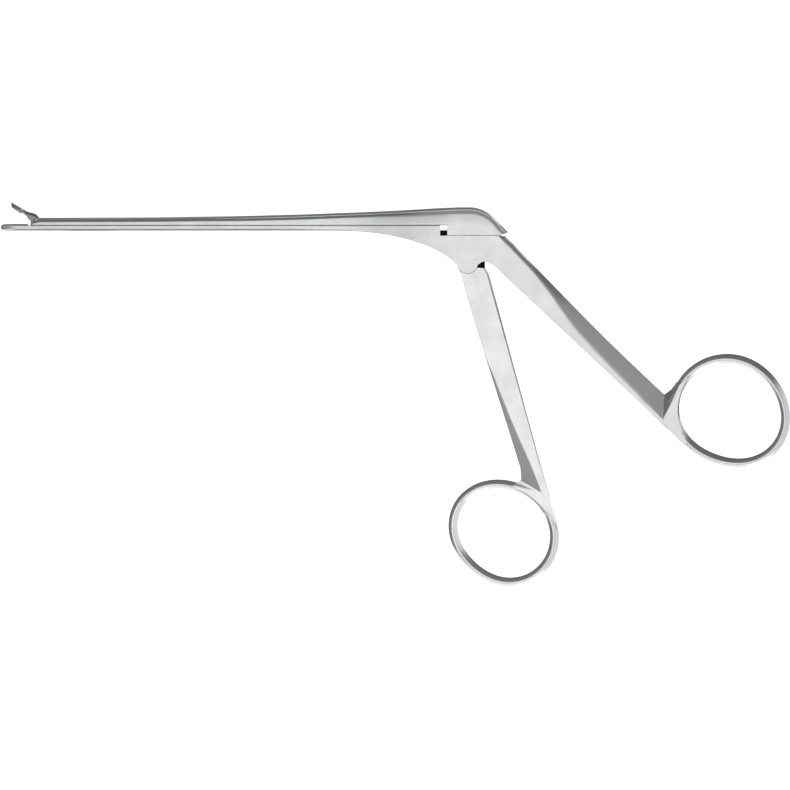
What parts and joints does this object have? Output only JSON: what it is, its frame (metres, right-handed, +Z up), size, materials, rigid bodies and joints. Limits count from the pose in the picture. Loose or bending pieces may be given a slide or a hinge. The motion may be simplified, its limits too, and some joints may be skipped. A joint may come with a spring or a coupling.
{
  "type": "biopsy forceps",
  "caption": "Hand instrument with ring handles, a long straight shaft in two sliding halves and a hinged cup jaw at its tip, for taking small tissue samples.",
  "frame": {"origin": "on the flank that the forceps rests on, on the line square to the shaft through the handle pivot, 4.2 mm above that pivot's axis", "axes": "+X along the shaft from the jaws to the body, +Y square to the shaft, away from the handles, +Z up, across the thickness"},
  "size_m": [0.1971, 0.096, 0.0056],
  "materials": {
    "satin_steel": "satin",
    "jaw_steel": "satin",
    "pin_steel": "polished"
  },
  "bodies": {
    "frame": {"fixed_frame": "satin_steel", "handle_pivot_pin": "pin_steel", "jaw_pivot_pin": "pin_steel"},
    "handle": {"front_handle": "satin_steel"},
    "slide": {"sliding_shaft": "satin_steel", "drive_pin": "pin_steel", "jaw_link_pin": "pin_steel"},
    "jaw": {"upper_jaw": "jaw_steel"}
  },
  "joints": [
    {"name": "handle_pivot", "type": "hinge", "parent": "frame", "child": "handle", "pos_m": [0, -0.0042, 0.0028], "axis": [0, 0, 1], "range_deg": [0, 7.79]},
    {"name": "slide_advance", "type": "slide", "parent": "frame", "child": "slide", "axis": [-1, 0, 0], "range_m": [0, 0.00112]},
    {"name": "jaw_pivot", "type": "hinge", "parent": "frame", "child": "jaw", "pos_m": [-0.10823, 0.0047, 0.0028], "axis": [0, 0, 1], "range_deg": [0, 34.5]}
  ],
  "couplings": [
    {"joint": "slide_advance", "follows": "handle_pivot", "m_per_rad": 0.0082},
    {"joint": "jaw_pivot", "follows": "handle_pivot", "ratio": 4.424}
  ]
}
